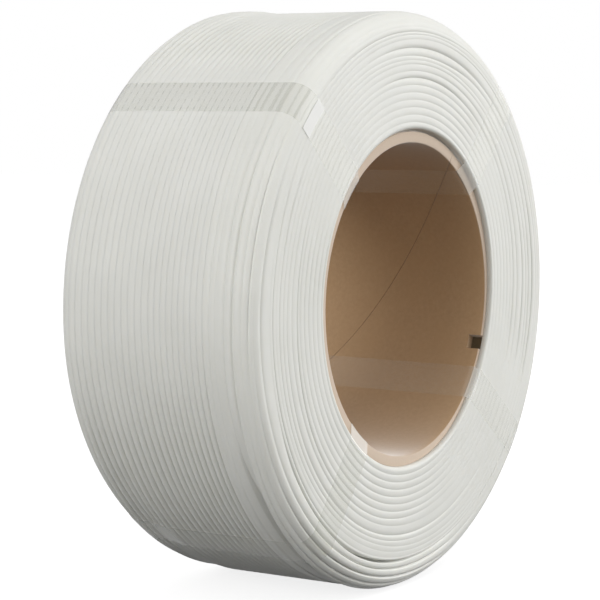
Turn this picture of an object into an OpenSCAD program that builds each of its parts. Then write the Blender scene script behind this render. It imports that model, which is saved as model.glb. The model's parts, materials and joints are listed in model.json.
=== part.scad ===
// Spool-less coil of 3-D printer filament on a cardboard core, tied by four clear tape straps.
// Millimetres, row frame: +Z up, the winding's axis along Y, the origin in the middle of the bore.
// The core's notched rim is at -Y, and the coil stands on its outer turns.

/* [Core tube] */

// Bore of the cardboard core, where a spool hub goes
core_bore_d = 84; // [70:0.5:100]

// Wall of the cardboard core
core_wall = 3; // [1.5:0.1:4]

// Length of the core, a little less than the coil's width
core_length = 57; // [40:0.5:70]

// Width of the key notch in the rim at -Y
notch_width = 4; // [2:0.1:10]

// Depth of the key notch, along the axis
notch_depth = 4; // [2:0.1:10]

// Where the notch is, turning from +X up towards +Z
notch_angle = 339; // [0:1:359]

/* [Filament coil] */

// Diameter over the outer turns, across their corners
coil_d = 157.6; // [130:0.1:200]

// Width of the coil from face to face
coil_width = 60; // [45:0.5:80]

// Rounding of the coil's two shoulders
shoulder_r = 5.6; // [4:0.1:9]

// Diameter of the filament
filament_d = 1.75; // [1.5:0.05:1.8]

// Height of one layer, which shows as the spacing of the rings on the coil's two faces
layer_height = 1.95; // [1.8:0.05:3]

// Turns in the outer layer
turns = 24; // [8:1:24]

// How far round each shoulder the outer layer goes, in degrees
wound_angle = 46; // [40:1:60]

// Where the two ends of the outer layer are tucked in, under the last strap
end_angle = 322.5; // [7.5:15:352.5]

/* [Tape straps] */

// Width of the clear tape
strap_width = 10; // [6:0.5:20]

// Thickness of the tape
strap_thickness = 0.15; // [0.1:0.01:0.2]

// Where the four straps are, turning from +X up towards +Z
upper_right_angle = 47; // [30:0.5:60]
upper_left_angle = 136; // [120:0.5:150]
lower_left_angle = 231.5; // [210:0.5:240]
lower_right_angle = 322; // [300:0.5:330]

// Overlap of the tape's ends on the upper left strap, measured out from the axis
lap_inner_r = 68; // [60:0.1:70]
lap_outer_r = 71.7; // [70.5:0.1:74]

/* [Hidden] */

$fn = 96;

bore_r = core_bore_d / 2;
core_r = bore_r + core_wall;
rim_y = core_length / 2;
coil_r = coil_d / 2;
face_y = coil_width / 2;

// the outer layer is one six-sided tube with as much section as the round filament
sides = 6;
rings_per_turn = 24;
step_angle = 360 / rings_per_turn;
tube_r = filament_d / 2 * sqrt(2 * PI / (3 * sqrt(3)));
tube_half_width = tube_r * cos(30);

// the line that the tube's middle follows: straight across the coil, then round each shoulder
round_r = coil_r - shoulder_r;
straight_y = face_y - shoulder_r;
path_r = shoulder_r - tube_r;
path_half = straight_y + path_r * wound_angle * PI / 180;
turn_pitch = 2 * path_half / turns;

// the seat under the outer layer is clear of the tube between its rings, where it dips furthest in
seat_gap = 0.02;
dip = cos(step_angle / 2);
seat_r = (coil_r - tube_r) * dip - tube_r - seat_gap;
seat_round = shoulder_r - 2 * tube_r - 3 * seat_gap;
seat_end_angle = wound_angle + (tube_half_width + 0.25) / path_r * 180 / PI;

// the flat that the coil stands on, a tenth of the filament deep
floor_z = -(coil_r * dip - filament_d / 10);

// the last turn of each layer shows on the coil's face as a ring, and the grooves between are bed_y out
inner_round = filament_d / 2;
first_ring_r = core_r + inner_round;
rings = floor((round_r - first_ring_r) / layer_height) + 1;
ring_step = (round_r - first_ring_r) / (rings - 1);
bed_y = face_y - 0.6 * inner_round;

// the strap leaves the core's rim and meets the coil's face here
strap_face_r = first_ring_r + 0.6;

function along(i) = -path_half + 2 * path_half * i / (turns * rings_per_turn);
function tilt(s) = abs(s) < straight_y ? 0 : sign(s) * (abs(s) - straight_y) / path_r * 180 / PI;
function path_radius(s) = round_r + path_r * cos(tilt(s));
function path_y(s) = abs(s) < straight_y ? s : sign(s) * straight_y + path_r * sin(tilt(s));

// one ring of the tube, pushed forward by ahead along its own straight line
function ring(turn, s, ahead) = [
    for (k = [0 : sides - 1])
        let (
            a = 360 * k / sides,
            out = tube_r * cos(a),
            side = tube_r * sin(a),
            r = path_radius(s) + out * cos(tilt(s)) - side * sin(tilt(s)),
            y = path_y(s) + out * sin(tilt(s)) + side * cos(tilt(s))
        )
        [r * cos(turn) - ahead * sin(turn), y, r * sin(turn) + ahead * cos(turn)]
];

winding_steps = turns * rings_per_turn;
winding = [
    ring(end_angle, along(0), -filament_d),
    for (i = [0 : winding_steps]) ring(end_angle + step_angle * i, along(i), 0),
    ring(end_angle, along(winding_steps), filament_d)
];

module tube(rings) {
    last = len(rings) - 1;
    polyhedron(
        points = [for (one = rings) for (p = one) p],
        faces = [
            for (k = [1 : sides - 2]) [0, k, k + 1],
            for (i = [0 : last - 1], k = [0 : sides - 1])
                [i * sides + k, (i + 1) * sides + k, (i + 1) * sides + (k + 1) % sides],
            for (i = [0 : last - 1], k = [0 : sides - 1])
                [i * sides + k, (i + 1) * sides + (k + 1) % sides, i * sides + (k + 1) % sides],
            for (k = [1 : sides - 2])
                [last * sides, last * sides + k + 1, last * sides + k]
        ],
        convexity = 10
    );
}

// least gap between one turn and the next, from corner to corner of their rings
gaps = [
    for (i = [0 : winding_steps - rings_per_turn])
        let (here = winding[i + 1], next = winding[i + 1 + rings_per_turn])
        min([for (p = here) for (q = next) norm(p - q)])
];
echo(least_gap_mm = min(gaps), turn_pitch_mm = turn_pitch);

// a shape turned round the Y axis; its drawing has the radius across and -Y up
module about_axis() {
    rotate([90, 0, 0]) rotate_extrude() children();
}

module core_tube() {
    color("#b79a7c")
        difference() {
            about_axis() translate([bore_r, -rim_y]) square([core_wall, core_length]);
            rotate([0, -notch_angle, 0])
                translate([bore_r - 2, -rim_y - 1, -notch_width / 2])
                    cube([core_wall + 4, notch_depth + 1, notch_width]);
        }
}

module inner_layers_outline() {
    translate([core_r, -(face_y - inner_round)]) square([round_r - core_r, 2 * (face_y - inner_round)]);
    translate([first_ring_r, -bed_y]) square([round_r + inner_round / 2 - first_ring_r, 2 * bed_y]);
    translate([core_r + 1, -straight_y]) square([seat_r - core_r - 1, 2 * straight_y]);
    for (end = [-1, 1]) {
        for (i = [0 : rings - 1])
            translate([first_ring_r + ring_step * i, end * (face_y - inner_round)]) circle(inner_round);
        translate([seat_r - seat_round, end * straight_y]) circle(seat_round);
        // past the last outer turn the shoulder has its full rounding
        intersection() {
            translate([round_r, end * straight_y]) circle(shoulder_r);
            polygon([
                [round_r, end * (straight_y - 1)],
                [round_r + 20 * cos(seat_end_angle), end * (straight_y + 20 * sin(seat_end_angle))],
                [round_r, end * (straight_y + 20)]
            ]);
        }
    }
}

module filament_inner_layers() {
    color("#dcdad2") about_axis() inner_layers_outline();
}

module filament_outer_layer() {
    color("#e6e4dc")
        difference() {
            tube(winding);
            translate([-coil_r, -coil_width, floor_z - 10]) cube([coil_d, 2 * coil_width, 10]);
        }
}

// what a strap goes round, or that and the tape together when grow is its thickness
module strap_outline(grow) {
    polygon([
        [bore_r - grow, -rim_y - 0.7 * grow], [strap_face_r, -face_y - grow],
        [round_r, -face_y - seat_gap - grow], [round_r, face_y + seat_gap + grow],
        [strap_face_r, face_y + grow], [bore_r - grow, rim_y + 0.7 * grow]
    ]);
    translate([round_r - 1, -straight_y]) square([shoulder_r + 1 + seat_gap + grow, 2 * straight_y]);
    for (end = [-1, 1])
        translate([round_r, end * straight_y]) circle(shoulder_r + seat_gap + grow);
}

module strap_band() {
    difference() {
        strap_outline(strap_thickness);
        strap_outline(0);
    }
}

// the second thickness where the tape's end is stuck down, on the face at -Y
module strap_lap() {
    intersection() {
        difference() {
            strap_outline(2 * strap_thickness);
            strap_outline(strap_thickness);
        }
        translate([lap_inner_r, straight_y]) square([lap_outer_r - lap_inner_r, coil_width]);
    }
}

module strap(angle, lapped = false) {
    color("#c9c6bd", 0.45)
        intersection() {
            about_axis() {
                strap_band();
                if (lapped) strap_lap();
            }
            rotate([0, -angle, 0])
                translate([0, -coil_width, -strap_width / 2]) cube([coil_d, 2 * coil_width, strap_width]);
        }
}

module tape_strap_upper_right() strap(upper_right_angle);
module tape_strap_upper_left() strap(upper_left_angle, lapped = true);
module tape_strap_lower_left() strap(lower_left_angle);
module tape_strap_lower_right() strap(lower_right_angle);

core_tube();
filament_inner_layers();
filament_outer_layer();
tape_strap_upper_right();
tape_strap_upper_left();
tape_strap_lower_left();
tape_strap_lower_right();
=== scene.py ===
import bisect
import json
import math

import bpy
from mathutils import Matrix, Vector

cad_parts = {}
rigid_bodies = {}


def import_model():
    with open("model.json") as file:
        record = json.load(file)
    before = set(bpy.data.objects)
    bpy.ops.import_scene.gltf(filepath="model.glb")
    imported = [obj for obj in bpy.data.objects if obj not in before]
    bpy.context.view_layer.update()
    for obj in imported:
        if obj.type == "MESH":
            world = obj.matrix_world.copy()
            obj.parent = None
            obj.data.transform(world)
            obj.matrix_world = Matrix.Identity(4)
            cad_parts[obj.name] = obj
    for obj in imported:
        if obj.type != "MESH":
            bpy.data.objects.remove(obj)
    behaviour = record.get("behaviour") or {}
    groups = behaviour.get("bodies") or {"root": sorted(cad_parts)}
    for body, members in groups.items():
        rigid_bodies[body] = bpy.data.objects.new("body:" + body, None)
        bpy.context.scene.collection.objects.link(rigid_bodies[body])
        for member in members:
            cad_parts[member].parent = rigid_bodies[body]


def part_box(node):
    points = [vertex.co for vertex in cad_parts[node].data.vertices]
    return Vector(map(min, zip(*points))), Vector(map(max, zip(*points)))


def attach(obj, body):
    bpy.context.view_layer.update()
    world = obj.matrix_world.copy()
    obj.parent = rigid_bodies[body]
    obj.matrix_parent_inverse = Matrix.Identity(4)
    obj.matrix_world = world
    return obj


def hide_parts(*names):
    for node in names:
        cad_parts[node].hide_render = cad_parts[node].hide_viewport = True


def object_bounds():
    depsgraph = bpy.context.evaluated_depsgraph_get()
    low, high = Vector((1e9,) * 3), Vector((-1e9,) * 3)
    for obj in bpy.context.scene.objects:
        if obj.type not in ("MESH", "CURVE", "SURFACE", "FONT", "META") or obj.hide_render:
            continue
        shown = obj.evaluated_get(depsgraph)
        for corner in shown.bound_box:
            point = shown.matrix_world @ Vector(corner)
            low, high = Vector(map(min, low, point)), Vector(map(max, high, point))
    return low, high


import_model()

# Sizes are written in millimetres and become metres where a vertex is placed.
# Angles go round the Y axis from +X up towards +Z, in degrees.
mm = 0.001
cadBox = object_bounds()
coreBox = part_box("core_tube")
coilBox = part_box("filament_inner_layers")

boreRadius = 42.0
coreRadius = coreBox[1].x / mm
rimY = coreBox[1].y / mm
faceY = coilBox[1].y / mm
filament = 1.75
floorZ = cadBox[0].z + 0.01 * mm    # just clear of the floor
coilSize = cadBox[1].z - cadBox[0].z
mergeWithin = 0.001 * mm


# helpers that every piece uses

def keyed(keys, turn):
    # a smooth value right round the coil, from a few (degrees, value) pairs
    angles = [k[0] for k in keys]
    here = bisect.bisect_right(angles, turn % 360) - 1
    near = []
    for j in range(here - 1, here + 3):
        near.append((angles[j % len(keys)] + 360 * (j // len(keys)), keys[j % len(keys)][1]))
    (a0, v0), (a1, v1), (a2, v2), (a3, v3) = near
    t = (turn % 360 - a1) / (a2 - a1)
    m1 = (v2 - v0) / (a2 - a0) * (a2 - a1)
    m2 = (v3 - v1) / (a3 - a1) * (a2 - a1)
    return ((2 * t - 3) * t * t + 1) * v1 + ((t - 2) * t + 1) * t * m1 \
        + (3 - 2 * t) * t * t * v2 + (t - 1) * t * t * m2


def share(value, start, end):
    # 0 up to the start, 1 from the end on, and evenly between
    return min(max((value - start) / (end - start), 0), 1)


def around(radius, y, turn):
    a = math.radians(turn)
    return Vector((radius * math.cos(a), y, radius * math.sin(a))) * mm


def deselectAll():
    for o in bpy.context.selected_objects:
        o.select_set(False)


def makeActive(obj):
    deselectAll()
    obj.select_set(True)
    bpy.context.view_layer.objects.active = obj


def wrapGrid(name, rows, ring):
    # a grid whose rows are closed loops: joined end to end into a ring, or capped at both ends
    if ring:
        rows = rows + rows[:1]
    wide = len(rows[0])
    deselectAll()
    bpy.ops.mesh.primitive_grid_add(x_subdivisions=wide, y_subdivisions=len(rows) - 1, size=coilSize)
    obj = bpy.context.object
    obj.name = name
    for j, row in enumerate(rows):
        for i in range(wide + 1):
            obj.data.vertices[j * (wide + 1) + i].co = row[i % wide]
    bpy.ops.object.mode_set(mode="EDIT")
    bpy.ops.mesh.select_all(action="SELECT")
    bpy.ops.mesh.remove_doubles(threshold=mergeWithin)
    if not ring:
        bpy.ops.mesh.fill_holes(sides=wide)
    bpy.ops.mesh.normals_make_consistent(inside=False)
    bpy.ops.object.mode_set(mode="OBJECT")
    return obj


def linear(hexColour):
    # an sRGB hex colour as the linear one that a node takes
    parts = [int(hexColour[i:i + 2], 16) / 255 for i in (1, 3, 5)]
    return tuple(c / 12.92 if c <= 0.04045 else ((c + 0.055) / 1.055) ** 2.4 for c in parts) + (1.0,)


def addNode(tree, kind, settings=None, links=None):
    # settings are the node's own options and its sockets' values, and links are socket: (node, its output)
    node = tree.nodes.new(kind)
    for name, value in (settings or {}).items():
        if isinstance(name, str) and hasattr(node, name):
            setattr(node, name, value)
        else:
            node.inputs[name].default_value = value
    for name, (source, output) in (links or {}).items():
        tree.links.new(source.outputs[output], node.inputs[name])
    return node


def newMaterial(name):
    material = bpy.data.materials.new(name)
    material.use_nodes = True
    return material, material.node_tree, material.node_tree.nodes["Principled BSDF"]


def finishPiece(obj, material, replacedNode):
    obj.data.materials.clear()
    obj.data.materials.append(material)
    makeActive(obj)
    bpy.ops.object.shade_smooth()
    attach(obj, "root")
    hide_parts(replacedNode)


view = {
    "place": (-0.46097, -0.29754, 0.04820),     # metres
    "turn": -56.544,
    "dip": 5.176,           # degrees down from level
    "lens": 119.82,         # mm
    "clipFrom": 0.01,
}

deselectAll()
bpy.ops.object.camera_add(location=view["place"],
                          rotation=(math.radians(90 - view["dip"]), 0, math.radians(view["turn"])))
camera = bpy.context.object
camera.data.lens = view["lens"]
camera.data.clip_start = view["clipFrom"]
bpy.context.scene.camera = camera
bpy.context.scene.view_settings.view_transform = "Standard"
print("camera placed")


plaLook = {
    "colour": "#E4E4DF",
    "shade": "#DADAD4",
    "clouds": 16.67,        # mm from one paler patch to the next
    "roughness": 0.42,
    "scatter": 0.35,        # mm that light goes through it
}


def makePla():
    # PLA filament, extruded and air cooled: milky and a little translucent, with a satin skin
    material, tree, shader = newMaterial("plaFilamentExtruded")
    place = addNode(tree, "ShaderNodeTexCoord")
    cloud = addNode(tree, "ShaderNodeTexNoise", {"Scale": 1 / (plaLook["clouds"] * mm), "Detail": 3.0},
                    {"Vector": (place, "Object")})
    tint = addNode(tree, "ShaderNodeMix",
                   {"data_type": "RGBA", 6: linear(plaLook["shade"]), 7: linear(plaLook["colour"])},
                   {"Factor": (cloud, "Fac")})
    tree.links.new(tint.outputs[2], shader.inputs["Base Color"])
    shader.inputs["Roughness"].default_value = plaLook["roughness"]
    shader.inputs["IOR"].default_value = 1.46
    shader.inputs["Specular IOR Level"].default_value = 0.25
    shader.inputs["Subsurface Weight"].default_value = 1.0
    shader.inputs["Subsurface Radius"].default_value = (1.0, 0.97, 0.92)
    shader.inputs["Subsurface Scale"].default_value = plaLook["scatter"] * mm
    return material


kraftLook = {
    "colour": "#BD9B73",
    "dark": "#A68662",      # the two tones of its fibres
    "pale": "#CDAD87",
    "cut": "#CDB9A4",       # the cut rims
    "seam": "#7C5F40",
    "notchShade": "#63563F",    # painted shade inside the notch
    "fibre": 1.111,         # mm, coarser than the real ones, which would not show
    "blotch": 14.29,        # mm
    "roughness": 0.75,
    "fuzz": 0.9,
    "relief": 0.1,          # mm
}


def makeKraft():
    # kraft board, spiral wound from brown paper: matt, with fibres and blotches, paler where it was cut, and
    # with painted shade in the notch
    material, tree, shader = newMaterial("kraftBoardWound")
    place = addNode(tree, "ShaderNodeTexCoord")
    fibre = addNode(tree, "ShaderNodeTexNoise",
                    {"Scale": 1 / (kraftLook["fibre"] * mm), "Detail": 6.0, "Roughness": 0.65},
                    {"Vector": (place, "Object")})
    blotch = addNode(tree, "ShaderNodeTexNoise", {"Scale": 1 / (kraftLook["blotch"] * mm), "Detail": 4.0},
                     {"Vector": (place, "Object")})
    base = addNode(tree, "ShaderNodeMix",
                   {"data_type": "RGBA", 6: linear(kraftLook["dark"]), 7: linear(kraftLook["pale"])},
                   {"Factor": (fibre, "Fac")})
    toned = addNode(tree, "ShaderNodeMix", {"data_type": "RGBA", 7: linear(kraftLook["colour"])},
                    {"Factor": (blotch, "Fac"), 6: (base, 2)})
    # the notch's colour is painted shade
    for part in ("cut", "seam", "notchShade"):
        where = addNode(tree, "ShaderNodeAttribute", {"attribute_name": part})
        toned = addNode(tree, "ShaderNodeMix", {"data_type": "RGBA", 7: linear(kraftLook[part])},
                        {"Factor": (where, "Fac"), 6: (toned, 2)})
    tree.links.new(toned.outputs[2], shader.inputs["Base Color"])
    shader.inputs["Roughness"].default_value = kraftLook["roughness"]
    shader.inputs["IOR"].default_value = 1.45
    shader.inputs["Sheen Weight"].default_value = kraftLook["fuzz"]
    shader.inputs["Sheen Roughness"].default_value = 0.4
    bump = addNode(tree, "ShaderNodeBump", {"Strength": 0.25, "Distance": kraftLook["relief"] * mm},
                   {"Height": (fibre, "Fac")})
    tree.links.new(bump.outputs["Normal"], shader.inputs["Normal"])
    return material


tapeLook = {
    "colour": "#FBFBF8",
    "tint": "#FDFDFC",          # of what shows through it
    "wetted": "#F9F9F8",        # and where its glue has wetted the filament
    "haze": 0.06,
    "bridgeHaze": 0.25,         # where it bridges a rim
    "lowBridgeHaze": 0.32,      # and on the lower left
    "lapHaze": 0.72,
    "roughness": 0.5,
    # how far each strap has wetted the near face
    "faceWet": {"tape_strap_upper_right": 0.5, "tape_strap_upper_left": 0.45, "tape_strap_lower_left": 0.25,
                "tape_strap_lower_right": 0.5},
}


def makeTape():
    # clear polypropylene tape: a thin glossy film with a little haze, and milky where it bridges the rims
    material, tree, shader = newMaterial("clearPolypropyleneTape")
    shader.inputs["Base Color"].default_value = linear(tapeLook["colour"])
    shader.inputs["Roughness"].default_value = 0.6
    shader.inputs["IOR"].default_value = 1.49
    wetted = addNode(tree, "ShaderNodeAttribute", {"attribute_name": "wetted"})
    tint = addNode(tree, "ShaderNodeMix",
                   {"data_type": "RGBA", 6: linear(tapeLook["tint"]), 7: linear(tapeLook["wetted"])},
                   {"Factor": (wetted, "Fac")})
    clear = addNode(tree, "ShaderNodeBsdfTransparent", None, {"Color": (tint, 2)})
    haze = addNode(tree, "ShaderNodeAttribute", {"attribute_name": "haze"})
    # only the side that faces the eye is hazy and reflects
    side = addNode(tree, "ShaderNodeNewGeometry")
    front = addNode(tree, "ShaderNodeMath", {"operation": "SUBTRACT", 0: 1.0}, {1: (side, "Backfacing")})
    milk = addNode(tree, "ShaderNodeMath", {"operation": "MULTIPLY"},
                   {0: (haze, "Fac"), 1: (front, "Value")})
    film = addNode(tree, "ShaderNodeMixShader", None,
                   {"Fac": (milk, "Value"), 1: (clear, 0), 2: (shader, 0)})
    fresnel = addNode(tree, "ShaderNodeFresnel", {"IOR": 1.49})
    shine = addNode(tree, "ShaderNodeMath", {"operation": "MULTIPLY"},
                    {0: (fresnel, "Fac"), 1: (front, "Value")})
    gloss = addNode(tree, "ShaderNodeBsdfGlossy", {"Roughness": tapeLook["roughness"]})
    mix = addNode(tree, "ShaderNodeMixShader", None,
                  {"Fac": (shine, "Value"), 1: (film, 0), 2: (gloss, 0)})
    tree.links.new(mix.outputs[0], tree.nodes["Material Output"].inputs["Surface"])
    return material


pla = makePla()
kraft = makeKraft()
tape = makeTape()
print("materials made")


# the section's outline, which the coil body, the outer turns and the tape all follow
outline = {
    "nearShoulder": 5.04,   # rounding from the near face to the outer turns
    "farShoulder": 6.2,
    "nearRadius": 77.45,    # over the turns by the near shoulder
    "farRadius": 78.05,     # over the turns by the far shoulder
    # how far the coil is out of round over its near part, and over its far end: all of it at sagAll's radius
    # and none at sagNone's, and between farFrom and farTo along the axis the one turns into the other
    "nearSag": [(0, 0.0), (45, 0.1), (60, 0.4), (78, 0.75), (95, 0.8), (115, 0.6), (150, 0.0), (250, 0.1),
                (285, 0.7), (305, 0.8), (330, 0.1)],
    "farSag": [(0, 0.0), (75, 0.0), (95, 0.02), (120, 0.3), (150, 0.2), (175, 0.0), (192, -0.3), (208, 0.2),
               (225, 1.0), (245, 1.0), (270, 0.4), (320, 0.0)],
    "sagNone": 60,
    "sagAll": 78,
    "farFrom": 14,
    "farTo": 20,
}
shoulders = (outline["nearShoulder"], outline["farShoulder"])
faceRuns = [outline["nearRadius"] - shoulder - boreRadius for shoulder in shoulders]
arcRuns = [shoulder * math.pi / 2 for shoulder in shoulders]
straightRun = 2 * faceY - sum(shoulders)
middleRun = faceRuns[0] + arcRuns[0] + straightRun / 2
wholeRun = sum(faceRuns) + sum(arcRuns) + straightRun


def outlineProfile(run, depth):
    # run goes from the bore's near edge out over the near face, across and back down the far face
    far = run > middleRun
    s = wholeRun - run if far else run
    shoulder, faceRun, arcRun = shoulders[far], faceRuns[far], arcRuns[far]
    along = share(run, faceRuns[0], wholeRun - faceRuns[1])
    if s < faceRun:
        radius, y = boreRadius + s, faceY - depth
    elif s < faceRun + arcRun:
        lean = (s - faceRun) / shoulder
        radius = boreRadius + faceRun + (shoulder - depth) * math.sin(lean)
        y = faceY - shoulder + (shoulder - depth) * math.cos(lean)
    else:
        radius = outline["nearRadius"] - depth
        y = faceY - shoulder - (s - faceRun - arcRun)
    radius += (outline["farRadius"] - outline["nearRadius"]) * along * min(s / faceRun, 1)
    return radius, (y if far else -y)


def outlinePoint(run, depth, turn):
    radius, y = outlineProfile(run, depth)
    far = share(y, outline["farFrom"], outline["farTo"])
    sag = keyed(outline["nearSag"], turn) * (1 - far) + keyed(outline["farSag"], turn) * far
    sag *= max(radius - outline["sagNone"], 0) / (outline["sagAll"] - outline["sagNone"])
    place = around(radius - sag, y, turn)
    place.z = max(place.z, floorZ)
    return place


# a strand's rounded section: across from -1 to 1, and how far it falls there from crest to groove
crestAngles = [-64, -48, -32, -16, 0, 16, 32, 48, 64]


def strandSection():
    edge = math.sin(math.radians(crestAngles[-1]))
    section = []
    for angle in crestAngles:
        x = math.sin(math.radians(angle))
        section.append((x / edge, (1 - math.sqrt(1 - x * x)) / (1 - math.sqrt(1 - edge * edge))))
    return section


strand = strandSection()


# the outer turns: one unbroken length of filament, which the coil body leaves room for
turns = {
    "start": 322,           # both ends are tucked in under the lower right strap
    "count": 25,
    "firstRun": 47.1,       # from the bore's near edge to the middle of the first turn
    "closeTurns": 9,        # turns laid close, then the rest a little apart
    "closePitch": 1.80,
    "widePitch": 2.07,
    "perTurn": 180,         # rings of the tube in a turn
    # how deep the grooves between turns are
    "groove": [(0, 0.3), (90, 0.35), (105, 0.4), (117, 0.8), (124, 0.5), (128, 0.15), (132, 0.03),
               (141, 0.02), (150, 0.05), (165, 0.05), (180, 0.08), (193, 0.3), (208, 0.7), (225, 0.82),
               (250, 0.82), (300, 0.35)],
    # the side that lies on the bed: where across, and how far below the grooves
    "under": [(1, 0.35), (0.95, 0.62), (0.75, 0.82), (0.3, 0.875), (-0.3, 0.875), (-0.75, 0.82),
              (-0.95, 0.62), (-1, 0.35)],
    "slack": 0.005,         # between one turn and the next
    "tuck": 1.5,            # how deep each end is pushed in
    "tuckSweep": 24,        # over how many degrees it goes down
    "smooth": 35,           # degrees between faces that are shaded as one
}


def turnRun(count):
    close = min(count, turns["closeTurns"])
    return turns["firstRun"] + turns["closePitch"] * close + turns["widePitch"] * (count - close)


def nearEdge(turn):
    # where the coil body ends and the first turn begins, eased across the tucked end
    lead = (turn - turns["start"]) % 360
    return turnRun(lead / 360 - 0.5) + turns["closePitch"] * max(0.0, 1 - lead / turns["tuckSweep"])


def farEdge(turn):
    lead = (turn - turns["start"]) % 360
    eased = max(0.0, 1 - (360 - lead) / turns["tuckSweep"])
    return turnRun(turns["count"] - 0.5 + lead / 360) - turns["widePitch"] * eased


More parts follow.
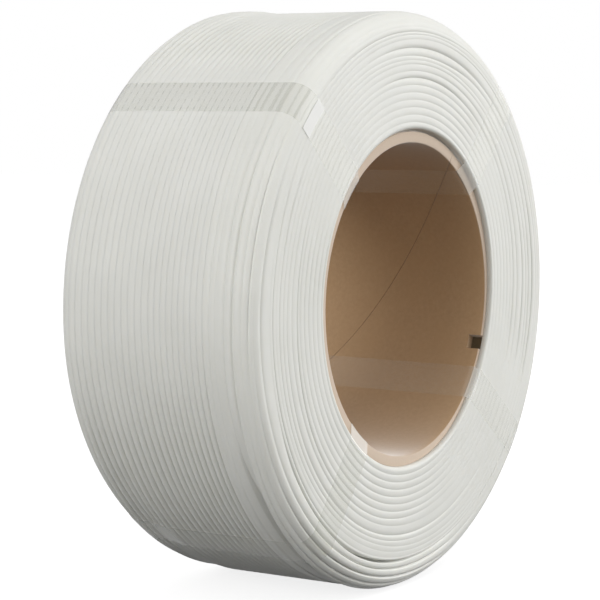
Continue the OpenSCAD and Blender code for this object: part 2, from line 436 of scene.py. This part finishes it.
# the coil body: both faces, the near shoulder and the bed of the outer turns
body = {
    "rows": 240,
    # inner edge of the first ring, which hangs over the core's rim on the lower right
    "innerEdge": [(0, 1.1), (30, 2.2), (60, 3.35), (88, 3.5), (110, 3.35), (140, 3.15), (180, 3.0),
                  (215, 3.1), (250, 3.0), (270, 2.4), (296, 1.6), (320, 0.8)],
    "innerGap": 0.08,       # between the core and the first ring
    "underRim": 0.04,       # from the core's rim down to the body's inner edge
    # the gap behind the rim gets deeper, up to gapMore, as the first ring stands off the core by gapFrom to
    # gapTo
    "gapFrom": 0.1,
    "gapTo": 0.9,
    "gapMore": 3.2,
    # where the points along the core begin, from the far face, and end, from the body's inner edge
    "wallFrom": 2.0,
    "wallTo": 1.0,
    "edgeStep": 0.01,       # keeps the inner edge's two points from merging
    # the rings by the core wander together, and the grooves between them are alike
    "closeRings": 6,
    "firstGroove": 4.1,     # from the bore's edge
    "ringPitch": 1.96,
    "wander": [(0, -1.5), (30, -0.4), (60, 0.7), (105, 1.5), (125, 1.3), (150, 0.35), (180, 0.3),
               (215, 0.85), (250, 1.05), (275, 0.2), (300, -1.05), (320, -1.5)],
    "ringDepth": [(0, 0.15), (20, 0.1), (45, 0.05), (60, 0.14), (78, 0.12), (92, 0.09), (105, 0.05),
                  (125, 0.025), (138, 0.03), (150, 0.12), (165, 0.22), (180, 0.15), (195, 0.13), (215, 0.16),
                  (240, 0.18), (265, 0.14), (285, 0.075), (310, 0.03), (335, 0.08)],
    # the grooves further out: where each runs, and its depth, of which the reliefs take their share
    "grooves": [
        {"run": [(0, 14.5), (60, 16.5), (90, 17.1), (125, 16.6), (145, 15.9), (180, 15.3), (215, 16.5),
                 (250, 16.9), (290, 15.1), (320, 14.4)],
         "depth": [(0, 0.4), (50, 0.9), (75, 2.2), (95, 2.0), (115, 0.3), (150, 0.2), (215, 0.8), (262, 0.8),
                   (295, 0.2)]},
        {"run": [(0, 17.0), (30, 17.6), (60, 18.8), (125, 18.7), (145, 17.9), (180, 17.7), (215, 18.1),
                 (250, 18.6), (290, 17.6), (320, 17.1)],
         "depth": [(0, 0.4), (60, 1.0), (90, 0.5), (130, 0.14), (185, 0.4), (250, 0.6), (295, 0.1)]},
        {"run": [(0, 20.4), (90, 20.8), (125, 20.3), (145, 19.5), (180, 19.8), (215, 20.7), (250, 21.1),
                 (312, 20.4)],
         "depth": [(0, 0.4), (60, 0.5), (90, 0.4), (130, 0.1), (185, 0.4), (240, 1.2), (265, 1.6),
                   (285, 0.8), (310, 0.2)]},
        {"run": [(0, 22.4), (60, 21.9), (125, 21.9), (145, 21.3), (180, 21.5), (215, 22.3), (275, 22.5)],
         "depth": [(0, 0.2), (60, 0.5), (90, 0.2), (130, 0.1), (185, 0.3), (250, 0.6), (310, 0.12)]},
        {"run": [(0, 24.1), (30, 24.4), (60, 24.1), (75, 23.1), (90, 23.1), (125, 23.4), (145, 22.9),
                 (180, 23.1), (215, 23.8), (250, 23.8), (275, 24.3), (312, 24.6)],
         "depth": [(0, 0.4), (50, 0.6), (72, 1.4), (95, 0.6), (115, 0.2), (150, 0.3), (250, 0.4),
                   (310, 0.12)]},
        {"run": [(0, 26.6), (40, 26.4), (60, 25.9), (90, 25.3), (125, 24.8), (145, 24.5), (180, 24.7),
                 (215, 25.1), (250, 25.3), (290, 25.8), (335, 26.1)],
         "depth": [(0, 0.6), (45, 0.9), (75, 2.4), (95, 2.2), (120, 0.15), (180, 0.1), (280, 0.1)]},
        {"run": [(0, 28.6), (60, 28.7), (75, 28.3), (90, 27.7), (125, 26.6), (160, 25.9), (180, 25.9),
                 (200, 26.2), (238, 27.0), (275, 26.9), (312, 27.1), (335, 27.9)],
         "depth": [(0, 0.2), (60, 0.5), (90, 0.3), (130, 0.15), (180, 0.4), (215, 0.8), (235, 0.6),
                   (260, 0.2), (310, 0.1)]},
        {"run": [(0, 29.8), (75, 29.3), (105, 28.5), (145, 27.7), (180, 27.2), (200, 27.4), (215, 27.8),
                 (240, 28.1), (262, 27.8), (300, 27.8), (335, 28.8)],
         "depth": [(0, 0.2), (120, 0.1), (195, 0.2), (212, 1.2), (230, 5.0), (245, 9.0), (262, 9.5),
                   (278, 3.0), (292, 0.6)]},
        {"run": [(0, 31.0), (60, 30.9), (80, 30.0), (105, 29.5), (125, 29.5), (145, 29.8), (160, 30.2),
                 (180, 30.8), (200, 30.9), (224, 30.7), (250, 30.2), (290, 29.9)],
         "depth": [(0, 0.4), (75, 0.5), (95, 0.9), (120, 0.3), (145, 0.2), (165, 0.6), (200, 0.6),
                   (225, 1.5), (260, 2.2), (300, 0.8)]},
        {"run": [(0, 32.7), (75, 31.3), (125, 31.1), (145, 31.9), (160, 32.9), (200, 33.4), (224, 33.2),
                 (250, 32.5), (300, 32.4)],
         "depth": [(0, 0.2), (125, 0.1), (185, 0.12), (203, 0.6), (220, 1.3), (245, 2.0), (262, 1.8),
                   (310, 0.3)]},
        {"run": [(0, 34.6), (75, 32.8), (110, 32.6), (125, 32.9), (145, 33.6), (160, 34.0), (180, 34.4),
                 (195, 34.9), (215, 35.7), (238, 35.2), (262, 34.9), (312, 34.9)],
         "depth": [(0, 0.3), (110, 0.4), (180, 0.5), (195, 0.15), (215, 0.6), (262, 0.9), (310, 0.3)]},
        {"run": [(0, 36.8), (75, 35.0), (125, 35.2), (145, 35.5), (160, 35.8), (180, 36.2), (195, 36.7),
                 (215, 37.3), (238, 37.1), (312, 37.1)],
         "depth": [(0, 0.2), (125, 0.3), (180, 0.3), (200, 0.1), (300, 0.2)]},
        {"run": [(0, 38.8), (75, 37.6), (105, 37.6), (125, 37.8), (145, 38.1), (160, 38.5), (180, 38.8),
                 (200, 39.0), (224, 38.8), (312, 39.0)],
         "depth": [(0, 0.5), (100, 1.6), (125, 1.4), (145, 0.9), (200, 1.1), (300, 0.5)]},
        {"run": [(0, 41.0), (75, 39.4), (113, 39.5), (125, 39.8), (145, 40.3), (160, 40.9), (180, 41.1),
                 (200, 41.2), (215, 40.9), (230, 40.6), (312, 40.9)],
         "depth": [(0, 0.4), (110, 0.5), (200, 0.5), (225, 0.9), (300, 0.4)]},
        {"run": [(0, 43.4), (75, 42.1), (110, 42.3), (125, 42.8), (180, 43.7), (225, 44.0), (312, 43.9)],
         "depth": [(0, 0.3), (100, 1.3), (125, 1.0), (140, 0.3), (195, 0.15), (220, 0.7), (300, 0.3)]},
        {"run": [(0, 45.0), (75, 44.3), (110, 44.5), (140, 44.9), (180, 45.4), (225, 45.7), (312, 45.8)],
         "depth": [(0, 0.2), (140, 0.25), (180, 0.25), (225, 0.2), (312, 0.2)]},
    ],
    # how much of that depth there is, over the face and over the shoulder
    "faceRelief": [(0, 0.8), (15, 0.45), (30, 0.3), (45, 0.2), (60, 0.18), (90, 0.19), (105, 0.08),
                   (125, 0.05), (139, 0.1), (150, 0.9), (165, 0.6), (180, 0.4), (225, 0.35), (240, 0.21),
                   (270, 0.19), (285, 0.13), (300, 0.3), (316, 0.14), (329, 0.16), (345, 1.2)],
    "shoulderRelief": [(0, 0.3), (60, 0.18), (105, 0.2), (118, 0.4), (133, 0.16), (140, 0.2), (150, 0.8),
                       (165, 0.85), (180, 0.7), (195, 0.55), (210, 0.38), (225, 0.5), (245, 0.65),
                       (262, 0.5), (275, 0.35), (288, 0.14), (315, 0.12), (335, 0.2)],
    "shoulderFrom": 27.5,
    # strands on the near shoulder that lie low or lean at the lower left: how deep their two sides are there
    "lowStrands": {
        17: {"far": [(0, 0.0), (100, 0.0), (192, 0.0), (200, 0.0), (215, -0.3), (255, -0.35), (290, 0.0)]},
        18: {"near": [(0, 0.0), (100, 0.0), (192, 0.0), (200, 0.0), (215, -0.25), (255, -0.3), (290, 0.0)],
             "far": [(0, 0.0), (100, 0.0), (192, 0.0), (200, 0.0), (215, -0.5), (255, -0.55), (290, 0.0)]},
        19: {"near": [(0, 0.1), (60, 0.0), (100, 0.0), (190, 0.0), (196, 0.0), (205, 0.6), (215, 1.8),
                      (226, 2.6), (262, 2.5), (300, 1.2)],
             "far": [(0, 0.0), (100, 0.0), (190, 0.0), (196, 0.0), (205, 0.6), (215, 1.7), (226, 2.4),
                     (262, 2.3), (300, 0.9)]},
        20: {"near": [(0, 0.0), (100, 0.0), (192, 0.0), (200, 0.0), (215, 0.3), (226, 0.5), (262, 0.5),
                      (300, 0.2)]},
    },
    "leastGroove": 0.05,
    # how far a strand's own rounding goes down into a groove
    "mouth": [(0, 0.45), (200, 0.45), (225, 0.65), (265, 0.7), (290, 0.45)],
    # the same for the near side of a strand past the crack
    "lip": [(0, 0.45), (200, 0.45), (225, 0.18), (270, 0.15), (300, 0.35)],
    # half the width of a groove's bottom: slotLeast, to which slotMore is added between the depths slotFrom
    # and slotTo, and crackMore between crackFrom and crackTo
    "slotLeast": 0.01,
    "slotMore": 0.13,
    "slotFrom": 0.45,
    "slotTo": 1.05,
    "crackMore": 0.3,
    "crackFrom": 1.65,
    "crackTo": 2.65,
    "splitStrand": 13,      # the one before the crack on the lower face, fully round on that side
    # how far the crack is open
    "gape": [(0, 0.0), (200, 0.0), (232, 0.05), (242, 0.45), (262, 0.45), (272, 0.05)],
    # the far face has plainer rings, with the near ones' wander and depths turned so that the two faces don't
    # match
    "farRings": 14,
    "farStart": 0.8,        # how deep it begins beside the core
    "farFirst": 0.5,        # its first groove is no nearer the core than this
    "farStep": 0.3,         # and so much further out for each next one
    "farWander": 0.9,       # share of the near rings' wander
    "farWanderTurn": 140,
    "farDepth": 0.8,        # share of their depth, and so much more
    "farMore": 0.06,
    "farDepthTurn": 60,
    # the bed under the outer turns
    "bedDepth": 1.7,
    "bedColumns": 26,
    "bedFrom": 0.15,        # past the last groove
    "bedEdge": 0.04,        # how much deeper than the turns' grooves the faces end
}


def nearGrooves(turn):
    # each groove's run and depth at one angle round the coil
    lines = []
    for k in range(body["closeRings"]):
        run = body["firstGroove"] + body["ringPitch"] * k + keyed(body["wander"], turn)
        lines.append((run, keyed(body["ringDepth"], turn)))
    for groove in body["grooves"]:
        run = keyed(groove["run"], turn)
        relief = keyed(body["shoulderRelief" if run > body["shoulderFrom"] else "faceRelief"], turn)
        lines.append((run, relief * keyed(groove["depth"], turn)))
    lines.append((nearEdge(turn), keyed(turns["groove"], turn) + body["bedEdge"]))
    return lines


def farGrooves(turn):
    lines = []
    count = body["farRings"]
    first, last = body["firstGroove"], wholeRun - farEdge(turn)
    wander = body["farWander"] * keyed(body["wander"], turn + body["farWanderTurn"])
    depth = body["farDepth"] * keyed(body["ringDepth"], turn + body["farDepthTurn"]) + body["farMore"]
    for k in range(count + 1):
        run = first + wander * (1 - k / count) + (last - first) * k / count
        least = coreRadius - boreRadius + body["farFirst"] + body["farStep"] * k
        lines.append((max(run, least), depth))
    return lines


def slotWidth(depth):
    slot = body["slotMore"] * share(depth, body["slotFrom"], body["slotTo"])
    crack = body["crackMore"] * share(depth, body["crackFrom"], body["crackTo"])
    return body["slotLeast"] + slot + crack


def lowSides(turn):
    level = [(0, 0.0)]
    return {number: [keyed(low.get(side, level), turn) for side in ("near", "far")]
            for number, low in body["lowStrands"].items()}


def sections(lines, first, turn, lows):
    # the points across the rings between one groove and the next; deep grooves are narrow cracks
    points = []
    before = first
    split, least = body["splitStrand"], body["leastGroove"]
    for number, line in enumerate(lines):
        low = lows.get(number, (0.0, 0.0))
        bottom = max(line[1], low[1] + least, lows.get(number + 1, (0.0, 0.0))[0] + least)
        middle = (before[0] + line[0]) / 2
        half = (line[0] - before[0]) / 2
        points.append((before[0] + slotWidth(before[1]), before[1]))
        for across, fall in strand[1:-1]:
            crest = low[0] * (1 - across) / 2 + low[1] * (1 + across) / 2
            fullyRound = (number == 0 and across < 0) or (number == split and across > 0)
            lip = across < 0 and number > split
            mouth = filament / 2 if fullyRound else keyed(body["lip" if lip else "mouth"], turn)
            groove = min(max((before[1] if across < 0 else bottom) - crest, least), mouth)
            points.append((middle + half * across, crest + groove * fall))
        points.append((line[0] - slotWidth(bottom), bottom))
        before = (line[0] + (keyed(body["gape"], turn) if number == split else 0.0), bottom)
    return points


def bodyRow(turn):
    # the body's whole section at one angle: near face, bed, far face, and back along the core
    gap = coreRadius - boreRadius + body["innerGap"]
    edge = keyed(body["innerEdge"], turn)
    near = sections(nearGrooves(turn), (edge, filament / 2), turn, lowSides(turn))
    far = sections(farGrooves(turn), (gap, body["farStart"]), turn, {})
    start, end = near[-1][0] + body["bedFrom"], wholeRun - far[-1][0] - body["bedFrom"]
    columns = body["bedColumns"]
    bed = [(start + (end - start) * k / columns, body["bedDepth"]) for k in range(columns + 1)]
    row = [outlinePoint(run, depth, turn) for run, depth in near + bed]
    row += [outlinePoint(wholeRun - run, depth, turn) for run, depth in reversed(far)]
    standOff = share(edge - gap, body["gapFrom"], body["gapTo"])
    bottom = body["gapMore"] * standOff - rimY - body["underRim"]
    inner = boreRadius + gap
    wall = (faceY - body["wallFrom"], faceY / 3, -faceY / 3, bottom + body["wallTo"], bottom)
    row += [around(inner, y, turn) for y in wall]
    row.append(around(boreRadius + edge, bottom + body["edgeStep"], turn))
    return row


def makeCoilBody():
    rows = body["rows"]
    return wrapGrid("coilBody", [bodyRow(360 * j / rows) for j in range(rows)], True)


coilBody = makeCoilBody()
finishPiece(coilBody, pla, "filament_inner_layers")
print("coil body:", len(coilBody.data.polygons), "faces")


def turnRing(step, steps):
    # one ring of the tube: its outer side a shallow arc, its flanks pressed on the next turns
    count = step / turns["perTurn"]
    turn = turns["start"] + 360 * count
    fromEnd = min(step, steps - step) * 360 / turns["perTurn"]
    low = turns["tuck"] * max(0.0, 1 - fromEnd / turns["tuckSweep"]) ** 2
    wide = (turnRun(count + 0.5) - turnRun(count - 0.5)) / 2 - turns["slack"]
    groove = keyed(turns["groove"], turn)
    section = [(across, groove * fall) for across, fall in strand]
    section += [(across, groove + depth) for across, depth in turns["under"]]
    return [outlinePoint(turnRun(count) + wide * across, low + depth, turn) for across, depth in section]


def makeOuterTurns():
    steps = turns["count"] * turns["perTurn"]
    return wrapGrid("outerTurns", [turnRing(step, steps) for step in range(steps + 1)], False)


outerTurns = makeOuterTurns()
finishPiece(outerTurns, pla, "filament_outer_layer")
bpy.ops.object.shade_smooth_by_angle(angle=math.radians(turns["smooth"]))
print("outer turns:", len(outerTurns.data.polygons), "faces")


core = {
    "rows": 240,
    "wallColumns": 24,
    "edge": 0.35,           # rounding of the cut ends
    "seamTwist": -1.93,     # degrees that the ply seam turns for each millimetre along the bore
    "seamAt": 60,           # where it starts at the near rim
    "seamWidth": 0.4,
    "seamDepth": 0.12,
    "notchAt": 339,
    "notchWidth": 4.0,
    "notchDepth": 4.0,
    "notchBacking": 0.35,       # a sheet left across the back of the notch, which carries its painted shade
    "overcut": 2.0,         # how far the notch's cutter stands past the rim
    "reach": 3.0,           # and into the bore
    "smooth": 30,
    "cornerSteps": 3,
    "rimFacing": 0.3,       # how far a face turns to the axis where it counts as cut rim
    "wallWithin": 1.0,      # how near the bore a corner is where it counts as its wall
    # what counts as inside the notch: so far past its sides, from the bore and from the outside
    "notchBeside": 0.1,
    "notchFromBore": 0.6,
    "notchFromOutside": 0.2,
}


def coreRow(turn, sunk):
    # the wall's outline at one row, which follows the plies' helix; sunk is the seam's depth here
    e = core["edge"]
    columns, steps = core["wallColumns"], core["cornerSteps"]
    low, high = e - rimY, rimY - e
    corners = [(boreRadius + e, low), (boreRadius + e, high), (coreRadius - e, high), (coreRadius - e, low)]
    row = []
    for number, (radius, y) in enumerate(corners):
        for step in range(steps + 1):
            lean = math.radians(270 - 90 * number - 90 * step / steps)
            dip = sunk if (number, step) in ((0, steps), (1, 0)) else 0.0
            row.append((radius + e * math.cos(lean) + dip, y + e * math.sin(lean)))
        if number in (0, 2):
            wall = boreRadius + sunk if number == 0 else coreRadius
            ends = (low, high) if number == 0 else (high, low)
            for k in range(1, columns):
                row.append((wall, ends[0] + (ends[1] - ends[0]) * k / columns))
    return [around(radius, y, turn + core["seamTwist"] * (y + rimY)) for radius, y in row]


def seamHalf():
    return math.degrees(core["seamWidth"] / 2 / boreRadius)


def makeCore():
    plain = [360 * j / core["rows"] for j in range(core["rows"])]
    angles = sorted(plain + [core["seamAt"] - seamHalf(), core["seamAt"] + seamHalf()])
    rows = [coreRow(angle, core["seamDepth"] if angle == core["seamAt"] else 0.0) for angle in angles]
    obj = wrapGrid("coreTube", rows, True)
    deselectAll()
    # the cutter stops short of the outside, leaving the sheet that carries the notch's painted shade
    inwards, outwards = boreRadius - core["reach"], coreRadius - core["notchBacking"]
    middle = (core["notchDepth"] - core["overcut"]) / 2 - rimY
    place = around((inwards + outwards) / 2, middle, core["notchAt"])
    bpy.ops.mesh.primitive_cube_add(size=1, location=place, rotation=(0, -math.radians(core["notchAt"]), 0))
    cutter = bpy.context.object
    size = (outwards - inwards, core["notchDepth"] + core["overcut"], core["notchWidth"])
    cutter.scale = Vector(size) * mm
    cut = obj.modifiers.new("notch", "BOOLEAN")
    cut.object = cutter
    cut.solver = "EXACT"
    makeActive(obj)
    bpy.ops.object.modifier_apply(modifier="notch")
    bpy.data.objects.remove(cutter)
    return obj


def markCore(obj):
    # which corners of faces are on the seam, on the cut rims and in the notch, where the colour is painted
    # shade
    for name in ("seam", "cut", "notchShade"):
        obj.data.attributes.new(name, "FLOAT", "CORNER")
    seam, cut, notchShade = [obj.data.attributes[name].data for name in ("seam", "cut", "notchShade")]
    for face in obj.data.polygons:
        centre = face.center / mm
        radius = math.hypot(centre.x, centre.z)
        turn = math.degrees(math.atan2(centre.z, centre.x))
        across = radius * math.radians((turn - core["notchAt"] + 180) % 360 - 180)
        outwards = radius * math.cos(math.radians(turn - core["notchAt"]))
        onRim = rimY - abs(centre.y) < core["edge"] and abs(face.normal.y) > core["rimFacing"]
        inWall = boreRadius + core["notchFromBore"] < outwards < coreRadius - core["notchFromOutside"]
        # the notch's faces take the painted shade colour
        inNotch = inWall and centre.y < core["notchDepth"] - rimY \
            and abs(across) < core["notchWidth"] / 2 + core["notchBeside"]
        for corner in face.loop_indices:
            place = obj.data.vertices[obj.data.loops[corner].vertex_index].co / mm
            at = math.degrees(math.atan2(place.z, place.x)) - core["seamTwist"] * (place.y + rimY)
            onBore = math.hypot(place.x, place.z) < boreRadius + core["wallWithin"]
            # only the seam's middle row
            onSeam = onBore and abs((at - core["seamAt"] + 180) % 360 - 180) < seamHalf() / 2
            seam[corner].value = 1.0 if onSeam else 0.0
            cut[corner].value = 1.0 if onRim else 0.0
            notchShade[corner].value = 1.0 if inNotch else 0.0


coreTube = makeCore()
markCore(coreTube)
finishPiece(coreTube, kraft, "core_tube")
bpy.ops.object.shade_smooth_by_angle(angle=math.radians(core["smooth"]))
print("core tube:", len(coreTube.data.polygons), "faces")


strap = {
    "width": 10.0,
    "across": 8,            # faces across the width
    "film": 0.05,
    "lift": 0.03,           # between the film and what it lies on
    "step": 0.8,            # length of a face on the coil
    "bridgeSteps": 4,       # faces across a rim, and along the bore
    "boreSteps": 30,
    "at": {"tape_strap_upper_right": 47, "tape_strap_upper_left": 136, "tape_strap_lower_left": 231.5,
           "tape_strap_lower_right": 322},
    "lapped": "tape_strap_upper_left",
    "lapFrom": 26.0,        # where its end is stuck down on the near face
    "lapTo": 29.8,
    "wetFrom": 74,          # the radius past which it has wetted the outer turns
    "smooth": 30,
    # a bridge goes so far past the landing and into the bore, and the near face so far back from its plane
    "bridgePast": 0.1,
    "bridgeIn": 0.5,
    "faceWithin": 1.0,
}


def between(first, last, count):
    # points from the first to just before the last
    return [(first[0] + (last[0] - first[0]) * k / count, first[1] + (last[1] - first[1]) * k / count)
            for k in range(count)]


def landings(turn):
    # the crest of the first ring on the near face and on the far one, where the film leaves the coil
    near = (keyed(body["innerEdge"], turn) + nearGrooves(turn)[0][0]) / 2
    return near, (coreRadius - boreRadius + farGrooves(turn)[0][0]) / 2


def asideTurn(turn, aside, radius):
    # the angle of a point that lies aside from the strap's middle
    return turn + math.degrees(math.asin(aside / radius))


def coilStrip(start, end, lift, turn, aside):
    # one line of the film along the coil, aside from the strap's middle
    count = round((end - start) / strap["step"])
    places = []
    for k in range(count + 1):
        run = start + (end - start) * k / count
        radius = outlineProfile(run, -lift)[0]
        places.append(outlinePoint(run, -lift, asideTurn(turn, aside, radius)))
    return places


def strapLoop(turn, aside):
    # right round: over the coil, over the far rim, back through the bore and over the near rim
    near, far = landings(turn)
    lift = strap["lift"]
    coil = coilStrip(near, wholeRun - far, lift, turn, aside)
    farRim = (boreRadius - lift, rimY + lift)
    nearRim = (boreRadius - lift, -rimY - lift)
    bore = between(outlineProfile(wholeRun - far, -lift), farRim, strap["bridgeSteps"])
    bore += between(farRim, nearRim, strap["boreSteps"])
    bore += between(nearRim, outlineProfile(near, -lift), strap["bridgeSteps"])
    return coil[:-1] + [around(radius, y, asideTurn(turn, aside, radius)) for radius, y in bore]


def makeFilm(name, stripAt, closed):
    # a film from strips side by side, each one line of points along it
    columns = strap["across"]
    strips = [stripAt(strap["width"] * (k / columns - 0.5)) for k in range(columns + 1)]
    rows = [list(row) for row in zip(*strips)]
    if closed:
        rows.append(rows[0])
    deselectAll()
    bpy.ops.mesh.primitive_grid_add(x_subdivisions=columns, y_subdivisions=len(rows) - 1, size=coilSize)
    film = bpy.context.object
    film.name = name
    for vertex, place in zip(film.data.vertices, [p for row in rows for p in row]):
        vertex.co = place
    bpy.ops.object.mode_set(mode="EDIT")
    bpy.ops.mesh.select_all(action="SELECT")
    bpy.ops.mesh.remove_doubles(threshold=mergeWithin)
    bpy.ops.object.mode_set(mode="OBJECT")
    wall = film.modifiers.new("film", "SOLIDIFY")
    wall.thickness = strap["film"] * mm
    wall.offset = 1.0
    bpy.ops.object.modifier_apply(modifier="film")
    return film


def overlap(aside):
    return coilStrip(strap["lapFrom"], strap["lapTo"], 2 * strap["lift"] + strap["film"],
                     strap["at"][strap["lapped"]], aside)


def markStrap(piece, nodeName, turn, ownVertices):
    # how hazy the film is and how far it has wetted what it lies on
    for name in ("haze", "wetted"):
        piece.data.attributes.new(name, "FLOAT", "POINT")
    haze, wetted = [piece.data.attributes[name].data for name in ("haze", "wetted")]
    bridgeLook = "lowBridgeHaze" if nodeName == "tape_strap_lower_left" else "bridgeHaze"
    landing = boreRadius + landings(turn)[0]
    for vertex in piece.data.vertices:
        place = vertex.co / mm
        radius = math.hypot(place.x, place.z)
        lapped = vertex.index >= ownVertices
        bridge = radius < landing + strap["bridgePast"] and abs(place.y) > rimY - strap["bridgeIn"]
        haze[vertex.index].value = tapeLook[bridgeLook if bridge else "lapHaze" if lapped else "haze"]
        wet = 0.0
        if nodeName == strap["lapped"] and radius > strap["wetFrom"] and not lapped:
            wet = 1.0
        elif -place.y > faceY - strap["faceWithin"] and not bridge and not lapped:
            wet = tapeLook["faceWet"][nodeName]
        wetted[vertex.index].value = wet


def makeStrap(nodeName, turn):
    pieceName = "tape" + nodeName.replace("tape_strap", "").title().replace("_", "")
    piece = makeFilm(pieceName, lambda aside: strapLoop(turn, aside), True)
    ownVertices = len(piece.data.vertices)
    if nodeName == strap["lapped"]:
        lap = makeFilm("lap", overlap, False)
        makeActive(piece)
        lap.select_set(True)
        bpy.ops.object.join()
    markStrap(piece, nodeName, turn, ownVertices)
    finishPiece(piece, tape, nodeName)
    bpy.ops.object.shade_smooth_by_angle(angle=math.radians(strap["smooth"]))


for strapNode, strapTurn in strap["at"].items():
    makeStrap(strapNode, strapTurn)
print("tape straps:", len(strap["at"]))


studio = {
    "sky": 0.54,            # strength
    "lamps": {              # metres and watts
        "rightLamp": {"from": (1.5, -1.3, 0.4), "size": 1.2, "power": 17.5},
        "highRightLamp": {"from": (1.0, -1.0, 1.4), "size": 1.2, "power": 9.0},
        "frontLamp": {"from": (-0.15, -2.0, 0.3), "size": 1.2, "power": 12.2},
        "leftLamp": {"from": (-1.92, 0.2, 0.56), "size": 1.2, "power": 20.8},
    },
    "floorSize": 6.0,
    "floorPaint": "#525252",        # what the object gets back from the floor
    "floorSeen": "#A8A8A8",         # what the camera sees of it, with its own glow
    "floorGlow": 0.8,
    "floorShine": 0.6,              # its glow in reflections
}


def addLamp(name):
    lampLook = studio["lamps"][name]
    deselectAll()
    bpy.ops.object.light_add(type="AREA", location=lampLook["from"])
    lamp = bpy.context.object
    lamp.name = name
    lamp.data.shape = "DISK"
    lamp.data.size = lampLook["size"]
    lamp.data.energy = lampLook["power"]
    lamp.rotation_euler = Vector(lampLook["from"]).to_track_quat("Z", "Y").to_euler()


for lampName in studio["lamps"]:
    addLamp(lampName)


def makeSky():
    # white to the camera and behind clear tape, and the light of the studio to everything else
    world = bpy.data.worlds.new("studioSky")
    bpy.context.scene.world = world
    world.use_nodes = True
    tree = world.node_tree
    paths = addNode(tree, "ShaderNodeLightPath")
    shown = addNode(tree, "ShaderNodeMath", {"operation": "MAXIMUM"},
                    {0: (paths, "Is Camera Ray"), 1: (paths, "Is Transmission Ray")})
    strength = addNode(tree, "ShaderNodeMix", {"data_type": "FLOAT", 2: studio["sky"], 3: 1.0},
                       {"Factor": (shown, "Value")})
    backdrop = tree.nodes["Background"]
    backdrop.inputs["Color"].default_value = (1, 1, 1, 1)
    tree.links.new(strength.outputs[0], backdrop.inputs["Strength"])


def makeFloor():
    deselectAll()
    bpy.ops.mesh.primitive_plane_add(size=studio["floorSize"], location=(0, 0, cadBox[0].z))
    floor = bpy.context.object
    floor.name = "floor"
    # matt emulsion paint, white to the camera
    paint, tree, shader = newMaterial("mattEmulsionPaint")
    shader.inputs["Roughness"].default_value = 0.9
    shader.inputs["Specular IOR Level"].default_value = 0.0
    shader.inputs["Emission Color"].default_value = (1, 1, 1, 1)
    paths = addNode(tree, "ShaderNodeLightPath")
    tint = addNode(tree, "ShaderNodeMix",
                   {"data_type": "RGBA", 6: linear(studio["floorPaint"]), 7: linear(studio["floorSeen"])},
                   {"Factor": (paths, "Is Camera Ray")})
    tree.links.new(tint.outputs[2], shader.inputs["Base Color"])
    seen = addNode(tree, "ShaderNodeMath", {"operation": "MULTIPLY", 1: studio["floorGlow"]},
                   {0: (paths, "Is Camera Ray")})
    mirrored = addNode(tree, "ShaderNodeMath", {"operation": "MULTIPLY", 1: studio["floorShine"]},
                       {0: (paths, "Is Glossy Ray")})
    glow = addNode(tree, "ShaderNodeMath", {"operation": "ADD"},
                   {0: (seen, "Value"), 1: (mirrored, "Value")})
    tree.links.new(glow.outputs[0], shader.inputs["Emission Strength"])
    floor.data.materials.append(paint)


makeSky()
makeFloor()
print("lamps, sky and floor placed")
